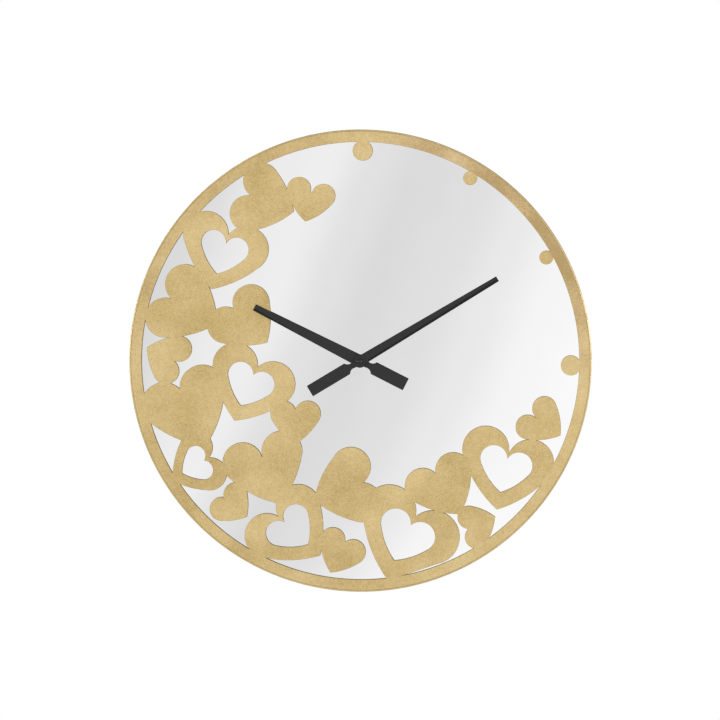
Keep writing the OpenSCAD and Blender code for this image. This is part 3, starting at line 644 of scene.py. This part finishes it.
def add_hoop():
    """The hoop as one smooth turned ring, inside the frame's box, with a ledge behind the face sheet."""
    deep = HOOP_HIGH.y - HOOP_LOW.y
    radius = min(DIAL.x - HOOP_LOW.x, DIAL.z - HOOP_LOW.z)
    inner = HOOP_R - HOOP_WALL + HOOP_CLEAR
    ledge = HOOP_HIGH.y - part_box("front_panel")[1].y - 2 * HOOP_CLEAR
    profile = [
        (HOOP_BREAK, inner), (0, inner + HOOP_BREAK), (0, radius - HOOP_BREAK), (HOOP_BREAK, radius),
        *quarter_round(deep, radius, HOOP_ROUND), (deep, inner), (ledge, inner), (ledge, inner - LEDGE_HIGH),
        (ledge - LEDGE_THICK, inner - LEDGE_HIGH), (ledge - LEDGE_THICK, inner),
    ]
    shape = bmesh.new()
    turned(shape, Vector((DIAL.x, HOOP_HIGH.y, DIAL.z)), FRONT, profile, HOOP_STEPS, closed=True)
    bmesh.ops.recalc_face_normals(shape, faces=shape.faces)
    add_piece(shape, "turned_hoop", ["rim_hoop"], (MATERIALS["rim_gold"],))


BATTERY_STEPS = 64
BATTERY_NUB_R = 2.75 * MM
BATTERY_NUB = 1.2 * MM


def add_battery():
    """A wrapped cell with crimped ends and a button."""
    length = BATTERY_HIGH.x - BATTERY_LOW.x
    radius = (BATTERY_HIGH.z - BATTERY_LOW.z) / 2
    shoulder = length - BATTERY_NUB
    profile = [
        (0, 0), (0, radius - 1.3 * MM), (0.4 * MM, radius - 0.5 * MM), (1.2 * MM, radius - 0.3 * MM),
        (BATTERY_CAP, radius - 0.05 * MM), (BATTERY_CAP + 0.3 * MM, radius), (shoulder - 1.6 * MM, radius),
        (shoulder - 1.2 * MM, radius - 0.1 * MM), (shoulder - 0.9 * MM, radius - 0.5 * MM),
        (shoulder - 0.3 * MM, radius - 1.1 * MM), (shoulder, radius - 2 * MM),
        (shoulder, BATTERY_NUB_R + 0.3 * MM), (shoulder + 0.2 * MM, BATTERY_NUB_R),
        *quarter_round(length, BATTERY_NUB_R, 0.3 * MM, 3), (length, 0),
    ]
    spot = (BATTERY_LOW + BATTERY_HIGH) / 2
    spot.x = BATTERY_LOW.x
    shape = bmesh.new()
    turned(shape, spot, Vector((1, 0, 0)), profile, BATTERY_STEPS)
    bmesh.ops.recalc_face_normals(shape, faces=shape.faces)
    add_piece(shape, "wrapped_battery", ["battery"], (MATERIALS["battery_wrap"],))


def islands(shape):
    """The separate solids of a mesh, as lists of points."""
    left = set(shape.verts)
    while left:
        found, edge = set(), [left.pop()]
        while edge:
            vert = edge.pop()
            found.add(vert)
            edge += [other for e in vert.link_edges for other in e.verts if other in left]
            left.difference_update(edge)
        yield list(found)


SCREW_STEPS = 40
SCREW_HEAD = 2 * MM
DRIVE_HALF = 1.9 * MM
DRIVE_ARM = 0.45 * MM
DRIVE_DEEP = 1.1 * MM
DRIVE_RIM = 2.3 * MM


def cross_points(shape, spot, along):
    """Corners of a cross recess."""
    quarter = [(DRIVE_HALF, -DRIVE_ARM), (DRIVE_HALF, DRIVE_ARM), (DRIVE_ARM, DRIVE_ARM)]
    corners = []
    for turn in range(4):
        corners += quarter
        quarter = [(-v, u) for u, v in quarter]
    return [shape.verts.new(spot + Vector((u, along, v))) for u, v in corners]


def add_screw(shape, low, high):
    """A pan-head wood screw with a cross recess; its head looks along +Y."""
    spot = Vector(((low.x + high.x) / 2, low.y, (low.z + high.z) / 2))
    length, head_r = high.y - low.y, (high.x - low.x) / 2
    shank_r, neck = head_r / 2, length - SCREW_HEAD
    profile = [
        (0, 0), (0, shank_r), (neck, shank_r), (neck, head_r - 0.2 * MM), (neck + 0.2 * MM, head_r),
        (length - 1.0 * MM, head_r - 0.15 * MM), (length - 0.5 * MM, head_r - 0.5 * MM),
        (length - 0.15 * MM, head_r - 1.0 * MM), (length - 0.02 * MM, DRIVE_RIM + 0.3 * MM),
        (length, DRIVE_RIM),
    ]
    crown = turned(shape, spot, BACK, profile, SCREW_STEPS)[-1]
    rim, floor = cross_points(shape, spot, length), cross_points(shape, spot, length - DRIVE_DEEP)
    loops = [shape.edges.new((rim[i - 1], rim[i])) for i in range(len(rim))]
    loops += [shape.edges.get((crown[i - 1], crown[i])) for i in range(SCREW_STEPS)]
    bmesh.ops.triangle_fill(shape, use_beauty=True, edges=loops, normal=BACK)
    wrap(shape, [rim, floor])
    shape.faces.new(floor)


def add_screws():
    """All the tab screws, as one group of separate solids."""
    source = welded("tab_screws")
    boxes = []
    for verts in islands(source):
        spans = [sorted(vert.co[k] for vert in verts) for k in range(3)]
        boxes.append((Vector(s[0] for s in spans), Vector(s[-1] for s in spans)))
    source.free()
    shape = bmesh.new()
    for low, high in sorted(boxes, key=lambda box: math.atan2(box[0].x, box[0].z)):
        add_screw(shape, low, high)
    bmesh.ops.recalc_face_normals(shape, faces=shape.faces)
    add_piece(shape, "cross_screws", ["tab_screws"], (MATERIALS["zinc_plate"],))


# Stage

# The camera stands far off, a little to the right of the dial and above it
CAMERA_AT = Vector((0.26, -6.0, 0.26))
FRAME_PX = 720
MM_PER_PX = 1.296
DIAL_PX = (359.95, 361.2)
SENSOR = 36.0
FLOOR_DROP = 1.0
FLOOR_HALF = 3.0
FLOOR_PATCH = 0.4
FLOOR_TONES = ((0.3, 0.74), (0.7, 0.8))
# Share of white in the floor below the clock, and the floor's far tone in a mirror
FLOOR_GLOW = 0.75
FLOOR_FAR = (0.75, 0.75, 0.75)
WHITE = (1, 1, 1)


def add_camera():
    """Looks at the dial, with the dial's centre on its pixel in the photograph's frame."""
    data = bpy.data.cameras.new("camera")
    camera = bpy.data.objects.new("camera", data)
    bpy.context.scene.collection.objects.link(camera)
    span = FRAME_PX * MM_PER_PX * MM
    right = (DIAL_PX[0] - FRAME_PX / 2) * MM_PER_PX * MM
    down = (DIAL_PX[1] - FRAME_PX / 2) * MM_PER_PX * MM
    camera.location = Vector((DIAL.x, FACE_Y, DIAL.z)) + CAMERA_AT
    camera.rotation_euler = (-CAMERA_AT).to_track_quat("-Z", "Y").to_euler()
    data.sensor_width = SENSOR
    data.lens = SENSOR * CAMERA_AT.length / span
    data.shift_x = -right / span
    data.shift_y = down / span
    bpy.context.scene.camera = camera


# Greys that the mirror shows along a slanted line across the dial: metres from the dial's centre, and level
WALL_SLANT = Vector((0.93, 0.0, -0.36))
WALL_SPAN = 0.6
# Below the dial's centre the bands bend to the left: metres for each square metre of height, and at most
WALL_BEND = 0.65
WALL_BEND_MOST = 0.08
WALL_GREYS = (
    (-0.540, 0.90), (-0.279, 0.735), (-0.180, 0.885), (-0.135, 0.905), (-0.072, 0.795),
    (-0.021, 0.745), (0.063, 0.785), (0.126, 0.86), (0.198, 0.965), (0.270, 1.0),
)
# Straight ahead of the clock the greys are whole, and toward its sides they fall: how far ahead, and level
AHEAD_LEVELS = ((0.3, 0.45), (0.85, 1.0))
FILL = (0.75, 0.75, 0.75)


def add_world():
    """White behind the object, a slanted gradient in its mirror, darker sides, and an even fill."""
    world = bpy.data.worlds.new("studio")
    bpy.context.scene.world = world
    world.use_nodes = True
    graph = Graph(world.node_tree, "Generated")
    slant = graph.vector("DOT_PRODUCT", graph.place, tuple(WALL_SLANT), "Value")
    metres = graph.math("ADD", graph.math("MULTIPLY", slant, CAMERA_AT.length), CAMERA_AT.dot(WALL_SLANT))
    height = graph.math("ADD", graph.math("MULTIPLY", graph.axis("Z"), CAMERA_AT.length), CAMERA_AT.z)
    low = graph.math("MINIMUM", height, 0.0)
    bend = graph.math("MULTIPLY", graph.math("MULTIPLY", low, low), WALL_BEND)
    metres = graph.math("ADD", metres, graph.math("MINIMUM", bend, WALL_BEND_MOST))
    across = graph.math("ADD", graph.math("DIVIDE", metres, 2 * WALL_SPAN), 0.5, clamp=True)
    greys = graph.ramp(across, *((offset / (2 * WALL_SPAN) + 0.5, level) for offset, level in WALL_GREYS))
    greys.node.color_ramp.interpolation = "EASE"
    ahead = graph.ramp(graph.math("MULTIPLY", graph.axis("Y"), -1.0), *AHEAD_LEVELS)
    path = graph.node("ShaderNodeLightPath").outputs
    glossy = graph.mix(1.0, greys, ahead, "MULTIPLY")
    shown = graph.mix(path["Is Glossy Ray"], FILL, glossy)
    direct = graph.math("MAXIMUM", path["Is Camera Ray"], path["Is Transmission Ray"])
    graph.put(world.node_tree.nodes["Background"].inputs["Color"], graph.mix(direct, shown, WHITE))


def add_floor():
    """A pale floor under the clock, which fades to white before its edge and keeps the shadow."""
    mesh = bpy.data.meshes.new("floor")
    corners = [(-1, -1), (1, -1), (1, 1), (-1, 1)]
    mesh.from_pydata([(x * FLOOR_HALF, y * FLOOR_HALF, 0) for x, y in corners], [], [(0, 1, 2, 3)])
    floor = bpy.data.objects.new("floor", mesh)
    floor.location.z = HOOP_LOW.z - FLOOR_DROP
    bpy.context.scene.collection.objects.link(floor)

    material = bpy.data.materials.new("pale_floor")
    material.use_nodes = True
    material.node_tree.nodes.clear()
    graph = Graph(material.node_tree)
    path = graph.node("ShaderNodeLightPath").outputs
    seen = graph.math("MAXIMUM", path["Is Camera Ray"], path["Is Transmission Ray"])
    tone = graph.ramp(graph.noise(FLOOR_PATCH, detail=3), *FLOOR_TONES)
    matte = graph.node("ShaderNodeBsdfDiffuse", {"Color": tone}).outputs[0]
    far = graph.mix(path["Is Glossy Ray"], WHITE, FLOOR_FAR)
    glow = graph.node("ShaderNodeEmission", {"Color": far}).outputs[0]
    away = graph.math("DIVIDE", graph.vector("LENGTH", graph.place, output="Value"), FLOOR_HALF)
    fade = graph.math("MULTIPLY", seen, graph.ramp(away, (0.1, FLOOR_GLOW), (0.95, 1.0)))
    melt = graph.math("MULTIPLY", path["Is Glossy Ray"], graph.ramp(away, (0.3, 0.0), (0.95, 1.0)))
    mixed = graph.node("ShaderNodeMixShader", {0: graph.math("MAXIMUM", fade, melt), 1: matte, 2: glow})
    graph.node("ShaderNodeOutputMaterial", {"Surface": mixed.outputs[0]})
    mesh.materials.append(material)


# Area lamps: place from the dial's centre, side, and watts
SOFTBOXES = {
    "softbox_left": ((-1.8, -0.5, 0.1), 0.4, 6),
    "softbox_right": ((1.8, -0.5, 0.15), 0.4, 9),
    "softbox_back": ((-1.2, 2.0, 0.9), 1.0, 11),
}


def add_softbox(name, at, side, watts):
    """A square area lamp that looks at the dial's centre."""
    data = bpy.data.lights.new(name, "AREA")
    data.size = side
    data.energy = watts
    lamp = bpy.data.objects.new(name, data)
    bpy.context.scene.collection.objects.link(lamp)
    lamp.location = DIAL + Vector(at)
    lamp.rotation_euler = (-Vector(at)).to_track_quat("-Z", "Y").to_euler()
    lamp.visible_camera = False


dress_nodes()
add_face_sheet()
add_hoop()
for hand, shape_of in HANDS.items():
    add_hand(hand, *shape_of)
for rigid, sizes in SOFT_EDGES.items():
    soften(rigid, *sizes)
add_screws()
add_battery()
add_camera()
add_world()
add_floor()
for lamp, setting in SOFTBOXES.items():
    add_softbox(lamp, *setting)

bpy.context.scene.view_settings.view_transform = "Standard"
